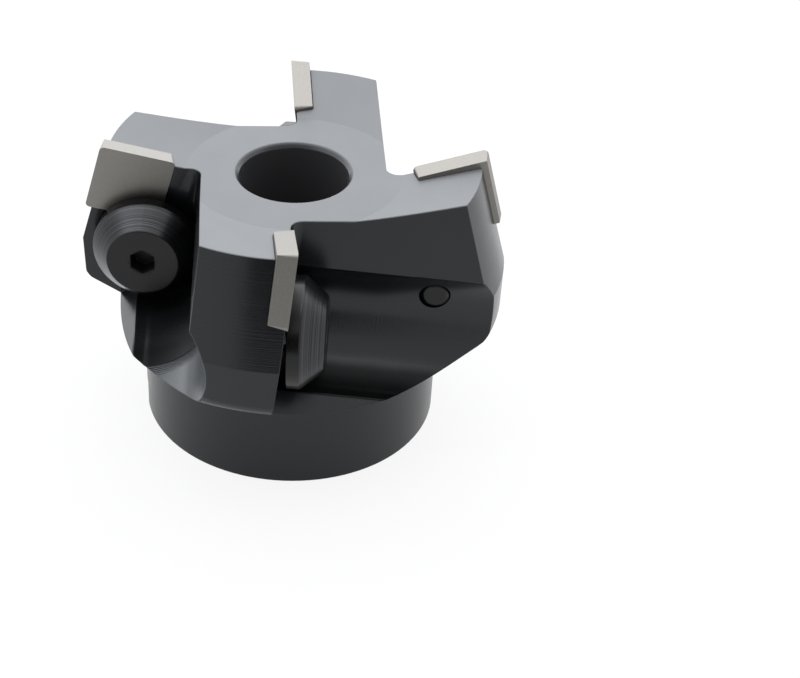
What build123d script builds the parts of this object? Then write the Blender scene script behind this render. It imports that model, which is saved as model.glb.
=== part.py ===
# Indexable face mill: a shell mill body with four square inserts, each held by a cone-headed screw.
# Millimetres. The back face lies at z = 0, the cutting face looks up, and tooth 1 points along +X.
# The cutter turns anticlockwise seen from above, so the rake side of tooth 1 faces +Y.
from build123d import *
from math import acos, cos, radians, sin, sqrt, tan
import os

# Cutter as a whole
tooth_count = 4
cutting_radius = 31.75
cutting_height = 50.0
lead_angle = 15.0
axial_rake = 7.0

# Body turned about Z
hub_radius = 25.6
hub_length = 14.8
underside_angle = 36.5
shoulder_round = 3.0
taper_length = 17.7
taper_angle = 16.2
face_drop = 1.6
land_inset = 1.3
dish_angle = 12.5
dish_drop = 2.85
edge_break = 0.2

# Arbor mounting
arbor_radius = 9.525
arbor_depth = 19.0
screw_hole_radius = 5.25
web_thickness = 8.0
head_bore_radius = 9.05
head_mouth_chamfer = 0.8
arbor_mouth_chamfer = 0.5
drive_slot_width = 7.94
drive_slot_depth = 4.76

# Chip gullets, with the spot face for the screw head measured from the cutting tip
tooth_thickness = 14.5
insert_standout = 0.3
gullet_corner_radius = 2.0
seat_radius = 11.0
seat_inward = 6.45
seat_below = 18.4
seat_length = 21.3
seat_step = 0.06
lip_outward = 1.5
foot_slope = 39.0

# Square insert
insert_side = 12.7
insert_thickness = 3.18
insert_nose = 0.8
insert_clearance = 11.0
pocket_fit = 0.02
pocket_reach = 6.0
pocket_relief_radius = 1.2

# Clamp screw
screw_turn = 6.45
screw_inward = 7.31
screw_below = 19.43
head_radius = 9.15
head_rim = 2.1
head_height = 5.87
head_flat_radius = 6.1
head_fit = 0.02
thread_radius = 2.5
thread_fit = 0.1
thread_length = 13.9
thread_end_chamfer = 0.65
socket_width = 4.0
socket_depth = 3.0

# Places that follow from the sizes above
lean = tan(radians(axial_rake))
face_height = cutting_height - face_drop
face_radius = cutting_radius + face_drop * tan(radians(lead_angle)) - land_inset / cos(radians(lead_angle))
body_radius = face_radius + taper_length * tan(radians(taper_angle))
band_top = face_height - taper_length
band_bottom = hub_length + (body_radius - hub_radius) * tan(radians(underside_angle))
floor_height = face_height - dish_drop
floor_radius = face_radius - dish_drop / tan(radians(dish_angle))
web_top = arbor_depth + web_thickness
reach = 2 * body_radius
rake_face = Plane(
    origin=(cutting_radius, 0, cutting_height),
    x_dir=(1, 0, 0),
    z_dir=(0, cos(radians(axial_rake)), -sin(radians(axial_rake))),
)
leading_wall = rake_face.offset(-insert_standout)
insert_frame = Plane(rake_face * Rotation(0, 0, -lead_angle))
wall_setback = face_drop * lean + insert_standout / cos(radians(axial_rake))

# The head is tilted to the rake face and bears on it at one point of its rim
screw_tilt = acos(cos(radians(screw_turn)) * cos(radians(axial_rake)))
head_seat = (insert_standout + head_fit + head_radius * sin(screw_tilt)) / cos(screw_tilt)
screw_entry = leading_wall.from_local_coords(Vector(-screw_inward, screw_below, 0))
screw_frame = Plane(
    origin=screw_entry,
    x_dir=(0, 0, 1),
    z_dir=(sin(radians(screw_turn)), cos(radians(screw_turn)), 0),
)

# What the milling cutters and drills take out in front of one tooth
with BuildPart() as tooth_space:
    gullet_top = cutting_height
    gullet_bottom = cutting_height - seat_below
    rise = gullet_top - face_height
    with BuildSketch(Plane.XY.offset(gullet_top)) as gullet:
        with Locations((tooth_thickness + wall_setback - rise * lean, rise * lean - wall_setback)):
            Rectangle(reach, reach, align=(Align.MIN, Align.MIN))
        fillet(gullet.vertices().group_by(Axis.X)[0].sort_by(Axis.Y)[0], gullet_corner_radius)
    extrude(amount=(gullet_top - gullet_bottom) * sqrt(1 + 2 * lean**2), dir=(lean, -lean, -1))

    with BuildSketch(leading_wall):
        with Locations((-seat_inward, seat_below)):
            Circle(seat_radius)
    extrude(amount=reach)
    with BuildSketch(leading_wall.offset(seat_length)):
        with Locations((-seat_inward, seat_below)):
            Circle(seat_radius + seat_step)
    extrude(amount=reach)

    lip_x = lip_outward - seat_inward
    lip_y = seat_below + sqrt(seat_radius**2 - lip_outward**2)
    with BuildSketch(leading_wall):
        with BuildLine():
            Polyline(
                (-seat_inward, 0),
                (-seat_inward, seat_below),
                (lip_x, lip_y),
                (lip_x + reach, lip_y + reach * tan(radians(foot_slope))),
                (lip_x + reach, 0),
                close=True,
            )
        make_face()
    extrude(amount=reach)

    with BuildSketch(insert_frame.offset(pocket_fit)):
        with Locations((pocket_reach, -pocket_reach)):
            pocket_side = insert_side + pocket_reach + pocket_fit
            Rectangle(pocket_side, pocket_side, align=(Align.MAX, Align.MIN))
    extrude(amount=-(insert_thickness + 2 * pocket_fit), taper=insert_clearance)
    with BuildSketch(insert_frame):
        with Locations((-insert_side, insert_side)):
            Circle(pocket_relief_radius)
    extrude(amount=-(insert_thickness + pocket_fit))

    with BuildSketch(screw_frame):
        Circle(thread_radius + thread_fit)
    extrude(amount=tooth_thickness + seat_radius, both=True)

with BuildPart() as cutter_body:
    with BuildSketch(Plane.XZ) as half_section:
        with BuildLine():
            Polyline(
                (arbor_radius, 0),
                (hub_radius, 0),
                (hub_radius, hub_length),
                (body_radius, band_bottom),
                (body_radius, band_top),
                (face_radius, face_height),
                (floor_radius, floor_height),
                (head_bore_radius, floor_height),
                (head_bore_radius, web_top),
                (screw_hole_radius, web_top),
                (screw_hole_radius, arbor_depth),
                (arbor_radius, arbor_depth),
                close=True,
            )
        make_face()
        shoulder = half_section.vertices().sort_by_distance((body_radius, band_bottom))[0]
        fillet(shoulder, shoulder_round)
        back_edge = half_section.vertices().sort_by_distance((hub_radius, 0))[0]
        chamfer(back_edge, edge_break)
        arbor_mouth = half_section.vertices().sort_by_distance((arbor_radius, 0))[0]
        chamfer(arbor_mouth, arbor_mouth_chamfer)
        head_mouth = half_section.vertices().sort_by_distance((head_bore_radius, floor_height))[0]
        chamfer(head_mouth, head_mouth_chamfer)
    revolve(axis=Axis.Z)
    with BuildSketch(Plane.XY):
        Rectangle(reach, drive_slot_width)
    extrude(amount=drive_slot_depth, mode=Mode.SUBTRACT)
    with PolarLocations(0, tooth_count):
        add(tooth_space.part, mode=Mode.SUBTRACT)

with BuildPart() as insert:
    with BuildSketch(insert_frame):
        with Locations((-insert_side / 2, insert_side / 2)):
            RectangleRounded(insert_side, insert_side, insert_nose)
    extrude(amount=-insert_thickness, taper=insert_clearance)

with BuildPart() as clamp_screw:
    with BuildSketch(Plane.XZ) as screw_section:
        with BuildLine():
            Polyline(
                (0, head_height),
                (head_flat_radius, head_height),
                (head_radius, head_rim),
                (head_radius, 0),
                (thread_radius, 0),
                (thread_radius, -thread_length),
                (0, -thread_length),
                close=True,
            )
        make_face()
        thread_end = screw_section.vertices().sort_by_distance((thread_radius, -thread_length))[0]
        chamfer(thread_end, thread_end_chamfer)
    revolve(axis=Axis.Z)
    with BuildSketch(Plane.XY.offset(head_height)):
        RegularPolygon(socket_width / 2, 6, major_radius=False)
    extrude(amount=-socket_depth, mode=Mode.SUBTRACT)

os.makedirs("parts", exist_ok=True)
cutter_body.part.label = "cutter_body"
export_step(cutter_body.part, "parts/cutter_body.step")
screw_place = screw_frame.offset(head_seat).location
for tooth in range(tooth_count):
    turn = Location((0, 0, 0), (0, 0, tooth * 360 / tooth_count))
    with BuildPart() as seated_insert:
        with Locations(turn):
            add(insert.part)
    seated_insert.part.label = f"insert_{tooth + 1}"
    export_step(seated_insert.part, f"parts/insert_{tooth + 1}.step")
    with BuildPart() as seated_screw:
        with Locations(turn * screw_place):
            add(clamp_screw.part)
    seated_screw.part.label = f"clamp_screw_{tooth + 1}"
    export_step(seated_screw.part, f"parts/clamp_screw_{tooth + 1}.step")
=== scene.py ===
# Looks of the indexable face mill: black-oxide body and clamp screws, ground carbide inserts.
import math

import bmesh
import bpy
from mathutils import Matrix, Vector


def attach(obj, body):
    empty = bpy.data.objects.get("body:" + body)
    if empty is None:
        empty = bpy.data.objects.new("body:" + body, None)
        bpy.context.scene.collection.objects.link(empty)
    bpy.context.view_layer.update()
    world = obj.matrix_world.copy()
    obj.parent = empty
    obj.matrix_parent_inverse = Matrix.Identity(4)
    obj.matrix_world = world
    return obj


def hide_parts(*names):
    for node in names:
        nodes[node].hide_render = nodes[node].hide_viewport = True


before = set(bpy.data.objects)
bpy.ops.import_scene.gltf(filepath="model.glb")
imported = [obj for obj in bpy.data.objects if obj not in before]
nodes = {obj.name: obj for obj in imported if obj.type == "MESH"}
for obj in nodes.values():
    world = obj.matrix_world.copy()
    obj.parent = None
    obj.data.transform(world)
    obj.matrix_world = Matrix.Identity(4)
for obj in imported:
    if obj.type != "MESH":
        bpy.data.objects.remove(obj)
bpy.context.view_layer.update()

mm = 0.001
noiseMean = 0.5
toothCount = 4
toothTurn = 360 / toothCount  # degrees
print("frame loaded:", len(nodes), "nodes")


class Signal:
    # One output socket. An expression on signals adds its Math nodes.
    def __init__(self, tree, socket):
        self.tree = tree
        self.socket = socket

    def combine(self, operation, *values):
        return self.tree.node("ShaderNodeMath", {"operation": operation}, dict(enumerate(values)))

    def __add__(self, other):
        return self.combine("ADD", self, other)

    def __radd__(self, other):
        return self.combine("ADD", other, self)

    def __sub__(self, other):
        return self.combine("SUBTRACT", self, other)

    def __rsub__(self, other):
        return self.combine("SUBTRACT", other, self)

    def __mul__(self, other):
        return self.combine("MULTIPLY", self, other)

    def __rmul__(self, other):
        return self.combine("MULTIPLY", other, self)

    def __gt__(self, other):
        return self.combine("GREATER_THAN", self, other)

    def __lt__(self, other):
        return self.combine("LESS_THAN", self, other)

    def smallest(self, other):
        return self.combine("MINIMUM", self, other)

    def largest(self, other):
        return self.combine("MAXIMUM", self, other)

    def size(self):
        return self.combine("ABSOLUTE", self)

    def wave(self, pitch):
        return self.combine("SINE", self * (math.tau / pitch))

    def ramp(self, low, high, start=0.0, end=1.0):
        values = {"Value": self, "From Min": low, "From Max": high, "To Min": start, "To Max": end}
        return self.tree.node("ShaderNodeMapRange", {"interpolation_type": "SMOOTHSTEP"}, values)


class NodeTree:
    def __init__(self, owner):
        owner.use_nodes = True
        self.tree = owner.node_tree
        self.tree.nodes.clear()

    def node(self, kind, settings=None, sockets=None, output=0):
        made = self.tree.nodes.new(kind)
        for name, value in (settings or {}).items():
            setattr(made, name, value)
        for name, value in (sockets or {}).items():
            if isinstance(value, Signal):
                self.tree.links.new(value.socket, made.inputs[name])
            else:
                made.inputs[name].default_value = value
        if len(made.outputs) > 0:
            return Signal(self, made.outputs[output])

    def outputs(self, signal, names):
        return [Signal(self, signal.socket.node.outputs[name]) for name in names]

    def surface(self, kind, sockets):
        shader = self.node(kind, sockets=sockets)
        self.node("ShaderNodeOutputMaterial", sockets={"Surface": shader})

    def objectPoint(self):
        return self.node("ShaderNodeTexCoord", output="Object")

    def point(self, x, y, z):
        return self.node("ShaderNodeCombineXYZ", sockets={0: x, 1: y, 2: z})

    def parts(self, vector):
        return self.outputs(self.node("ShaderNodeSeparateXYZ", sockets={0: vector}), range(3))

    def vector(self, operation, first, second, output=0):
        settings = {"operation": operation}
        return self.node("ShaderNodeVectorMath", settings, {0: first, 1: second}, output)

    def length(self, vector):
        return self.node("ShaderNodeVectorMath", {"operation": "LENGTH"}, {0: vector}, "Value")

    def turned(self, vector, angle):
        sockets = {"Vector": vector, "Angle": angle}
        return self.node("ShaderNodeVectorRotate", {"rotation_type": "Z_AXIS"}, sockets)

    def noise(self, vector, pitch, detail=1.0, roughness=0.55):
        sockets = {"Vector": vector, "Scale": 1 / pitch, "Detail": detail, "Roughness": roughness}
        return self.node("ShaderNodeTexNoise", sockets=sockets)

    def blend(self, factor, first, second):
        # A Mix node keeps its colour sockets at 6 and 7, and their result at 2
        return self.node("ShaderNodeMix", {"data_type": "RGBA"}, {0: factor, 6: first, 7: second}, 2)

    def bump(self, height):
        # The height is in metres, so it counts in full
        sockets = {"Height": height, "Distance": 1.0, "Strength": 1.0}
        return self.node("ShaderNodeBump", sockets=sockets, output="Normal")


def colour(*channels):
    return (*channels, 1.0)


# Camera, placed by the angles it looks along
photoCamera = {
    "focalLength": 78.25,        # mm, on a sensor 36 mm wide
    "sensorWidth": 36.0,
    "azimuth": -1.97,            # degrees
    "elevation": 38.04,
    "roll": -1.31,
    "distance": 315.46 * mm,
    "centreRight": -1.141 * mm,  # where the middle of the back face lies beside the line of sight
    "centreUp": 2.402 * mm,
    "shiftX": 0.13,
    "shiftY": 0.08,
    "nearest": 10 * mm,
    "farthest": 20.0,
}


def addCamera(values):
    azimuth, elevation, roll = (math.radians(values[key]) for key in ("azimuth", "elevation", "roll"))
    right = Vector((math.cos(azimuth), math.sin(azimuth), 0))
    back = Vector((
        math.sin(azimuth) * math.cos(elevation),
        -math.cos(azimuth) * math.cos(elevation),
        math.sin(elevation),
    ))
    up = back.cross(right)
    axisX = right * math.cos(roll) - up * math.sin(roll)
    axisY = right * math.sin(roll) + up * math.cos(roll)
    lens = bpy.data.cameras.new("photoCamera")
    lens.sensor_width = values["sensorWidth"]
    lens.lens = values["focalLength"]
    lens.shift_x = values["shiftX"]
    lens.shift_y = values["shiftY"]
    lens.clip_start = values["nearest"]
    lens.clip_end = values["farthest"]
    camera = bpy.data.objects.new("photoCamera", lens)
    place = back * values["distance"] - axisX * values["centreRight"] - axisY * values["centreUp"]
    camera.matrix_world = Matrix.LocRotScale(place, Matrix((axisX, axisY, back)).transposed(), None)
    bpy.context.scene.collection.objects.link(camera)
    bpy.context.scene.camera = camera


addCamera(photoCamera)
bpy.context.scene.view_settings.view_transform = "Standard"
print("camera placed")


# Studio: white floor and sky, a large soft lamp behind and above.
# The dark card in front is seen in reflections alone.
studio = {
    "white": colour(1, 1, 1),
    "ambient": 0.4,              # light of the sky on matt surfaces
    "floorHalfWidth": 1.6,       # metres
    "floorColour": colour(0.82, 0.82, 0.82),
    "floorGlow": 0.88,           # share that is plain white, the rest takes light and shadow
    "floorMirror": 0.56,         # the same share where the metal reflects the floor
    "darkCard": {                # places in metres
        "front": -0.28,
        "left": -0.13,
        "right": 0.05,
        "top": 0.2,
        "colour": colour(0.02, 0.02, 0.02),
    },
    "backLamp": {
        "azimuth": -8,           # degrees
        "elevation": 56,
        "distance": 0.8,         # metres, as its width and height
        "width": 2.6,
        "height": 2.0,
        "glow": 2.05,            # brightness, where plain white is 1
        "colour": (0.948, 0.968, 1.0),
    },
}


def seesBackground(tree, seen=1.0, mirrored=1.0):
    names = ("Is Camera Ray", "Is Glossy Ray", "Is Transmission Ray")
    camera, glossy, through = tree.outputs(tree.node("ShaderNodeLightPath"), names)
    return (camera * seen).largest(glossy.largest(through) * mirrored)


def addSky(values):
    world = bpy.data.worlds.new("studioSky")
    bpy.context.scene.world = world
    tree = NodeTree(world)
    strength = seesBackground(tree) * (1 - values["ambient"]) + values["ambient"]
    light = tree.node("ShaderNodeBackground", sockets={"Color": values["white"], "Strength": strength})
    tree.node("ShaderNodeOutputWorld", sockets={"Surface": light})


def addPlane(name, corners, material):
    mesh = bpy.data.meshes.new(name)
    mesh.from_pydata(corners, [], [(0, 1, 2, 3)])
    mesh.materials.append(material)
    plane = bpy.data.objects.new(name, mesh)
    bpy.context.scene.collection.objects.link(plane)
    return plane


def addFloor(values):
    material = bpy.data.materials.new("studioFloor")
    tree = NodeTree(material)
    matt = tree.node("ShaderNodeBsdfDiffuse", sockets={"Color": values["floorColour"]})
    glow = tree.node("ShaderNodeEmission", sockets={"Color": values["white"], "Strength": 1.0})
    share = seesBackground(tree, values["floorGlow"], values["floorMirror"])
    tree.surface("ShaderNodeMixShader", {0: share, 1: matt, 2: glow})
    half = values["floorHalfWidth"]
    corners = [(-half, -half, 0), (half, -half, 0), (half, half, 0), (-half, half, 0)]
    floor = addPlane("studioFloor", corners, material)


def addDarkCard(values):
    material = bpy.data.materials.new("darkCard")
    NodeTree(material).surface("ShaderNodeBsdfDiffuse", {"Color": values["colour"]})
    left, right, front, top = (values[key] for key in ("left", "right", "front", "top"))
    corners = [(left, front, 0), (right, front, 0), (right, front, top), (left, front, top)]
    card = addPlane("darkCard", corners, material)
    card.visible_camera = False
    card.visible_diffuse = False
    card.visible_shadow = False


def addLamp(name, values):
    lamp = bpy.data.lights.new(name, "AREA")
    lamp.color = values["colour"]
    lamp.shape = "RECTANGLE"
    lamp.size = values["width"]
    lamp.size_y = values["height"]
    lamp.energy = values["glow"] * math.pi * values["width"] * values["height"]
    azimuth, elevation = (math.radians(values[key]) for key in ("azimuth", "elevation"))
    away = Vector((
        math.sin(azimuth) * math.cos(elevation),
        math.cos(azimuth) * math.cos(elevation),
        math.sin(elevation),
    ))
    holder = bpy.data.objects.new(name, lamp)
    holder.location = away * values["distance"]
    holder.rotation_euler = away.to_track_quat("Z", "Y").to_euler()
    bpy.context.scene.collection.objects.link(holder)


addSky(studio)
addFloor(studio)
addDarkCard(studio["darkCard"])
addLamp("backLamp", studio["backLamp"])
print("studio lit")


# Where the chip spaces and the screws lie, as seen from tooth 1
toothShape = {
    "tip": Vector((31.75, 0, 50.0)) * mm,
    "axialRake": 7.0,
    "firstAngle": 15.0,          # degrees by which a tooth's share of the circle starts behind its tip
    "seatInward": 6.45 * mm,
    "seatBelow": 18.4 * mm,
    "seatRadius": 11.0 * mm,
    "seatStep": 0.06 * mm,
    "seatSkin": 0.24 * mm,       # how far off the seat's radius a point still counts as on the seat
    "stepPlace": 21.0 * mm,      # from the rake face to where the second, wider cutter stopped
    "shadeSplitTooth": 2,           # quarter turns from tooth 1, either way, to the tooth whose seat has painted shade up to the step
}
screwShape = {
    "entry": Vector((24.44, -2.666, 30.751)) * mm,   # where the screw's line meets the tooth
    "turn": 6.45,                # degrees, about the upright
    "holeRadius": 2.6 * mm,
    "shankEnd": 0.1 * mm,        # from the entry along the screw's line, with the head beyond
    "flatHeight": 7.727 * mm,    # from the entry to the flat of the head
    "socketMouth": 2.42 * mm,
    "coneRadius": 9.0 * mm,
    "skin": 0.05 * mm,           # how far off the hole or the flat a point still counts as on it
}
rakeTilt = math.radians(toothShape["axialRake"])
rakeAxes = {
    "out": Vector((1, 0, 0)),
    "down": Vector((0, -math.sin(rakeTilt), -math.cos(rakeTilt))),
    "ahead": Vector((0, math.cos(rakeTilt), -math.sin(rakeTilt))),
}


def foldToTooth(point, shape):
    angle = math.degrees(math.atan2(point.y, point.x)) + shape["firstAngle"]
    turn = -math.radians(math.floor(angle / toothTurn) * toothTurn)
    fromTip = Matrix.Rotation(turn, 3, "Z") @ point - shape["tip"]
    return {name: fromTip.dot(axis) for name, axis in rakeAxes.items()}


def screwLine(shape):
    turn = math.radians(shape["turn"])
    return Vector((math.sin(turn), math.cos(turn), 0))


# Finished pieces: each solid with its sharp corners broken, as a file or a stone leaves them
edgeBreak = {
    "cutter_body": {"slot": "black_oxide_steel", "width": 0.16 * mm},
    "insert": {"slot": "ground_carbide", "width": 0.05 * mm},
    "clamp_screw": {"slot": "black_oxide_screw", "width": 0.2 * mm},
    "corner": 24,                # degrees between two faces, from which their corner is broken
    "segments": 2,
    "border": 3,                 # degrees between the normals on the two sides of a border of a face
    "merge": 0.001 * mm,
    "flat": 0.2,                 # degrees within which triangles belong to one flat face
    "grid": 0.0001 * mm,
}


def gridPlace(point):
    return tuple(round(c / edgeBreak["grid"]) for c in point)


def faceBorders(mesh, degrees):
    sides = {}
    for face in mesh.polygons:
        corners = [
            (gridPlace(mesh.vertices[v].co), mesh.corner_normals[loop].vector)
            for v, loop in zip(face.vertices, face.loop_indices)
        ]
        for (place, normal), (nextPlace, nextNormal) in zip(corners, corners[1:] + corners[:1]):
            side = {place: normal, nextPlace: nextNormal}
            sides.setdefault(frozenset(side), []).append(side)
    limit = math.cos(math.radians(degrees))
    return {
        ends for ends, pair in sides.items()
        if len(pair) == 2 and min(pair[0][end].dot(pair[1][end]) for end in ends) < limit
    }


def onSeatStep(edge, shape):
    ahead = [foldToTooth(vertex.co, shape)["ahead"] for vertex in edge.verts]
    return all(abs(distance - shape["stepPlace"]) < shape["seatStep"] for distance in ahead)


def onScrewHole(edge, shape):
    for tooth in range(toothCount):
        back = Matrix.Rotation(-math.radians(toothTurn * tooth), 3, "Z")
        fromEntry = [back @ vertex.co - shape["entry"] for vertex in edge.verts]
        reach = [place.cross(screwLine(shape)).length for place in fromEntry]
        if all(abs(radius - shape["holeRadius"]) < shape["skin"] for radius in reach):
            return True
    return False


def breakEdges(node, values, shared):
    source = nodes[node].data
    borders = faceBorders(source, shared["border"])
    work = bmesh.new()
    work.from_mesh(source)
    bmesh.ops.remove_doubles(work, verts=work.verts, dist=shared["merge"])
    weight = work.edges.layers.float.new("bevel_weight_edge")
    for face in work.faces:
        face.smooth = True
    for edge in work.edges:
        border = frozenset(gridPlace(vertex.co) for vertex in edge.verts) in borders
        sharp = border and edge.calc_face_angle(0) > math.radians(shared["corner"])
        kept = node == "cutter_body" and (onSeatStep(edge, toothShape) or onScrewHole(edge, screwShape))
        edge.smooth = not border
        edge[weight] = 1.0 if sharp and not kept else 0.0
    bmesh.ops.dissolve_limit(
        work,
        angle_limit=math.radians(shared["flat"]),
        verts=work.verts,
        edges=work.edges,
        delimit={"SHARP"},
    )
    mesh = bpy.data.meshes.new(node + "_finished")
    work.to_mesh(mesh)
    work.free()
    piece = bpy.data.objects.new(node + "_finished", mesh)
    bpy.context.scene.collection.objects.link(piece)
    bevel = piece.modifiers.new("brokenEdges", "BEVEL")
    bevel.limit_method = "WEIGHT"
    bevel.width = values["width"]
    bevel.segments = shared["segments"]
    bevel.use_clamp_overlap = False
    bevel.harden_normals = True
    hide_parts(node)
    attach(piece, "root")
    return piece


finished = {}
for node in sorted(nodes):
    kind = node.rstrip("_1234")
    finished[node] = breakEdges(node, edgeBreak[kind], edgeBreak)
print("edges broken")


# Cutter body: black oxide over turned and milled steel
cutterBody = {
    "outline": {
        "hubRadius": 25.6 * mm,
        "hubLength": 14.8 * mm,
        "undersideAngle": 36.5,
        "bandRadius": 35.97 * mm,
        "faceRadius": 30.83 * mm,
        "faceHeight": 48.4 * mm,
        "taperAngle": 16.2,
        "dishAngle": 12.5,
        "dishDrop": 2.85 * mm,
        "boreRadius": 9.05 * mm,
        "mouthWidth": 0.85 * mm,
        "lipStart": 0.3 * mm,        # from the bore's radius to where the lip's painted sheen starts
        "skin": 0.08 * mm,           # how far under the turned outline a point still counts as turned
        "faceSkin": 0.18 * mm,       # the same on the cutting face, down over its broken edges, where the sheen makes a thin painted highlight
        "boreSkin": 0.55 * mm,       # how far outside the bore's radius a point still counts as in it
    },
    "finish": {
        "colour": colour(0.006, 0.0068, 0.0078),
        "roughness": 0.25,
        "unevenness": 0.1,           # of the roughness, from one patch of the mottle to the next
        "ior": 1.5,
        "specular": 0.42,
        "specularTint": colour(0.935, 0.965, 1.0),
        "mottle": 5.5 * mm,
        "grain": 0.22 * mm,
        "grainDepth": 0.006 * mm,
        "ringPitch": 0.3 * mm,
        "ringDepth": 0.02 * mm,
        "faceRingShare": 0.4,        # depth of the cutting face's rings beside the outline's
        # painted sheen: the same black oxide drawn lighter on the cutting face, its bore lip and its
        # broken edges
        "faceSheenColour": colour(0.152, 0.156, 0.16),
        "faceMetal": 0.5,
        "faceRoughness": 0.5,
        "boreColour": colour(0.055, 0.055, 0.058),
    },
    "seat": {
        "feedPitch": 0.3 * mm,
        "feedDepth": 0.012 * mm,
        # painted shade on the seats: darker and duller up to the step on one tooth, at the foot on the
        # others, and on the feed marks' crests
        "paintedShadeColour": colour(0.011, 0.0115, 0.0115),
        "paintedShadeRoughness": 0.42,
        "shadeStart": -9.0 * mm,      # along the seat, with its step at 0
        "shadeFull": -3.0 * mm,
        "footShadeStart": 8.6 * mm,       # down from the middle of the seat
        "footShadeFull": 10.1 * mm,
        # partly a fresh cut, partly painted highlight: the seat past the step drawn paler and bluish
        "freshAndLitColour": colour(0.036, 0.04, 0.0445),
        "stepPitch": 0.45 * mm,      # of the feed marks past the step
        "stepDepth": 0.042 * mm,
        "stepFade": 3.5 * mm,
        "crestStart": 0.2,           # height in a feed mark, from -1 to 1, where its crest starts taking painted shade
        "crestFull": 0.8,
        "crestShade": 0.75,
    },
}


def slope(degrees):
    return math.tan(math.radians(degrees))


def turnedSkin(radius, z, shape):
    taper = shape["faceRadius"] + (shape["faceHeight"] - z) * slope(shape["taperAngle"])
    under = shape["hubRadius"] + (z - shape["hubLength"]) * (1 / slope(shape["undersideAngle"]))
    outline = taper.smallest(shape["bandRadius"]).smallest(under.largest(shape["hubRadius"]))
    outside = (outline - radius) < shape["skin"]
    dish = shape["faceHeight"] - (shape["faceRadius"] - radius) * slope(shape["dishAngle"])
    floor = shape["faceHeight"] - shape["dishDrop"]
    mouthRadius = shape["boreRadius"] + shape["mouthWidth"]
    mouthEnd = floor - shape["mouthWidth"]
    # the bore's lip takes the cutting face's painted sheen from lipStart outwards
    lip = radius.ramp(shape["boreRadius"] + shape["lipStart"], mouthRadius)
    inMouth = (radius < mouthRadius) * (z < floor - shape["skin"])
    onMouth = lip * inMouth * (z > mouthEnd)
    onDish = ((dish.largest(floor) - z) < shape["faceSkin"]) * (1 - inMouth)
    inBore = (radius < shape["boreRadius"] + shape["boreSkin"]) * (z < mouthEnd)
    return outside, onDish.largest(onMouth), inBore


def rakePoint(tree, place, shape):
    x, y = tree.parts(place)[:2]
    angle = y.combine("ARCTAN2", y, x) + math.radians(shape["firstAngle"])
    teeth = angle * (toothCount / math.tau)
    index = teeth.combine("FLOOR", teeth)
    turned = tree.turned(place, index * -math.radians(toothTurn))
    fromTip = tree.vector("SUBTRACT", turned, tuple(shape["tip"]))
    rake = {
        name: tree.vector("DOT_PRODUCT", fromTip, tuple(axis), "Value")
        for name, axis in rakeAxes.items()
    }
    return rake, index


def seatMasks(tree, place, shape, finish):
    # Tooth 3's seat has painted shade up to the step and, past it, a fresh cut drawn paler, partly as
    # painted highlight.
    # The seats of the others have painted shade at the foot alone.
    rake, index = rakePoint(tree, place, shape)
    below = rake["down"] - shape["seatBelow"]
    radius = tree.length(tree.point(rake["out"] + shape["seatInward"], below, 0.0))
    onSeat = (radius - shape["seatRadius"]).size() < shape["seatSkin"]
    shadeSplit = index.size() > shape["shadeSplitTooth"] - 0.5
    beyond = rake["ahead"] - shape["stepPlace"]
    freshAndLit = onSeat * shadeSplit * (beyond > 0.0)
    fade = beyond.ramp(0.0, finish["stepFade"], 1.0, 0.0)
    steps = rake["ahead"].wave(finish["stepPitch"]) * freshAndLit * fade
    shadeNearStep = shadeSplit * (beyond < 0.0) * beyond.ramp(finish["shadeStart"], finish["shadeFull"])
    shadeAtFoot = (1 - shadeSplit) * below.ramp(finish["footShadeStart"], finish["footShadeFull"])
    shadeOnCrest = steps.ramp(finish["crestStart"], finish["crestFull"]) * finish["crestShade"]
    # painted shade: the seat's darker, duller zones
    paintedShade = onSeat * shadeNearStep.largest(shadeAtFoot).largest(shadeOnCrest)
    feed = tree.noise(tree.point(rake["ahead"], 0.0, 0.0), finish["feedPitch"]) * onSeat
    return freshAndLit, paintedShade, feed * finish["feedDepth"] + steps * finish["stepDepth"]


def bodyMaterial(values, tooth):
    finish, seat = values["finish"], values["seat"]
    material = bpy.data.materials.new("blackOxideBody")
    tree = NodeTree(material)
    place = tree.objectPoint()
    x, y, z = tree.parts(place)
    radius = tree.length(tree.point(x, y, 0.0))
    outside, onFace, inBore = turnedSkin(radius, z, values["outline"])
    freshAndLit, paintedShade, seatHeight = seatMasks(tree, place, tooth, seat)

    outsideRings = tree.noise(tree.point(0.0, 0.0, z), finish["ringPitch"]) * outside
    faceRings = tree.noise(tree.point(radius, 0.0, 0.0), finish["ringPitch"]) * onFace
    grain = tree.noise(place, finish["grain"], detail=2.0)
    rings = outsideRings + faceRings * finish["faceRingShare"]
    height = rings * finish["ringDepth"] + seatHeight + grain * finish["grainDepth"]

    mottle = tree.noise(place, finish["mottle"], detail=4.0)
    roughness = finish["roughness"] + (mottle - noiseMean) * finish["unevenness"]
    roughness = roughness + onFace * (finish["faceRoughness"] - finish["roughness"])
    roughness = roughness + paintedShade * (seat["paintedShadeRoughness"] - finish["roughness"])

    # painted sheen on the cutting face, its lip and its edges
    base = tree.blend(onFace, finish["colour"], finish["faceSheenColour"])
    base = tree.blend(inBore, base, finish["boreColour"])
    # fresh cut past the step, paler partly as painted highlight
    base = tree.blend(freshAndLit, base, seat["freshAndLitColour"])
    # painted shade on the seats
    base = tree.blend(paintedShade, base, seat["paintedShadeColour"])
    tree.surface("ShaderNodeBsdfPrincipled", {
        "Base Color": base,
        "Roughness": roughness,
        "IOR": finish["ior"],
        "Metallic": onFace * finish["faceMetal"] + paintedShade,
        "Specular IOR Level": finish["specular"],
        "Specular Tint": finish["specularTint"],
        "Normal": tree.bump(height),
    })
    return material


def dress(piece, material):
    piece.data.materials.clear()
    piece.data.materials.append(material)


dress(finished["cutter_body"], bodyMaterial(cutterBody, toothShape))
print("body dressed")


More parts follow.
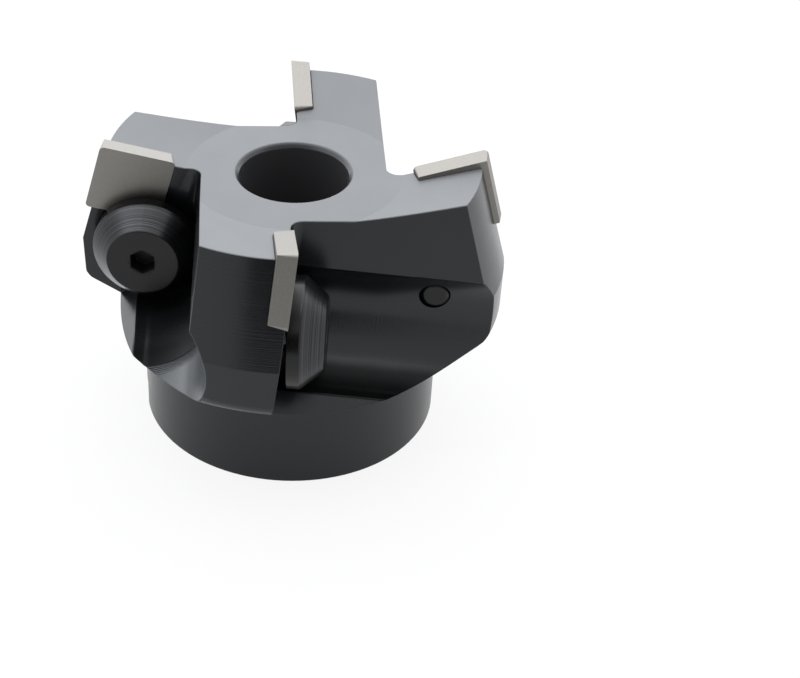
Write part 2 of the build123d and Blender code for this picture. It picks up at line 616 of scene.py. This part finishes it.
# Inserts: plain ground carbide with a fine grain
insertFinish = {
    "darkColour": colour(0.215, 0.205, 0.19),
    "paleColour": colour(0.25, 0.239, 0.222),
    "darkBelow": 0.3,            # of the grain's noise, from 0 to 1
    "paleAbove": 0.7,
    "roughness": 0.46,
    "unevenness": 0.1,
    "grain": 0.16 * mm,
    "grainDepth": 0.006 * mm,
    "grainStretch": 0.6,         # below 1 draws the grain out across the insert's thickness
}


def insertMaterial(tooth, finish):
    material = bpy.data.materials.new(f"groundCarbide{tooth}")
    tree = NodeTree(material)
    place = tree.turned(tree.objectPoint(), -math.radians(toothTurn) * (tooth - 1))
    x, y, z = tree.parts(place)
    grain = tree.noise(tree.point(x, y * finish["grainStretch"], z), finish["grain"], detail=2.0)
    pale = grain.ramp(finish["darkBelow"], finish["paleAbove"])
    tree.surface("ShaderNodeBsdfPrincipled", {
        "Base Color": tree.blend(pale, finish["darkColour"], finish["paleColour"]),
        "Metallic": 1.0,
        "Roughness": finish["roughness"] + (grain - noiseMean) * finish["unevenness"],
        "Normal": tree.bump(grain * finish["grainDepth"]),
    })
    return material


for tooth in range(1, toothCount + 1):
    dress(finished[f"insert_{tooth}"], insertMaterial(tooth, insertFinish))
print("inserts dressed")


# Clamp screws: black oxide with rings from turning about each screw's own line
screwFinish = {
    "colour": colour(0.003, 0.003, 0.0035),
    "roughness": 0.27,
    "ior": 1.5,
    "specular": 0.31,
    "grain": 0.22 * mm,
    "grainDepth": 0.006 * mm,
    "ringPitch": 0.2 * mm,
    "flatRingDepth": 0.012 * mm,
    "coneRingDepth": 0.022 * mm,
    "coneColour": colour(0.036, 0.0372, 0.039),
    "coneRoughness": 0.3,
    "ringColour": colour(0.07, 0.072, 0.076),
    "ringStart": 0.4,            # height of a ring, from 0 to 1, where its paler colour starts
    "ringFull": 0.65,
    "socketColour": colour(0.036, 0.036, 0.037),
    "socketRoughness": 0.6,
}


def screwMaterial(tooth, shape, finish):
    material = bpy.data.materials.new(f"blackOxideScrew{tooth}")
    tree = NodeTree(material)
    place = tree.turned(tree.objectPoint(), -math.radians(toothTurn) * (tooth - 1))
    line = tuple(screwLine(shape))
    fromEntry = tree.vector("SUBTRACT", place, tuple(shape["entry"]))
    along = tree.vector("DOT_PRODUCT", fromEntry, line, "Value")
    radius = tree.length(tree.vector("CROSS_PRODUCT", fromEntry, line))
    onHead = along > shape["shankEnd"]
    onFlat = along > shape["flatHeight"] - shape["skin"]
    onCone = onHead * (1 - onFlat) * (radius > shape["socketMouth"]) * (radius < shape["coneRadius"])
    inMouth = onHead * (radius < shape["socketMouth"])

    rings = tree.noise(tree.point(radius, 0.0, 0.0), finish["ringPitch"])
    ringDepth = onCone * finish["coneRingDepth"] + onFlat * finish["flatRingDepth"]
    grain = tree.noise(place, finish["grain"], detail=2.0)
    roughness = finish["roughness"] + onCone * (finish["coneRoughness"] - finish["roughness"])
    roughness = roughness + inMouth * (finish["socketRoughness"] - finish["roughness"])
    pale = rings.ramp(finish["ringStart"], finish["ringFull"])
    cone = tree.blend(pale, finish["coneColour"], finish["ringColour"])
    base = tree.blend(onCone, finish["colour"], cone)
    tree.surface("ShaderNodeBsdfPrincipled", {
        "Base Color": tree.blend(inMouth, base, finish["socketColour"]),
        "Metallic": onCone.largest(inMouth),
        "Roughness": roughness,
        "IOR": finish["ior"],
        "Specular IOR Level": finish["specular"],
        "Normal": tree.bump(rings * ringDepth + grain * finish["grainDepth"]),
    })
    return material


for tooth in range(1, toothCount + 1):
    dress(finished[f"clamp_screw_{tooth}"], screwMaterial(tooth, screwShape, screwFinish))
print("screws dressed")
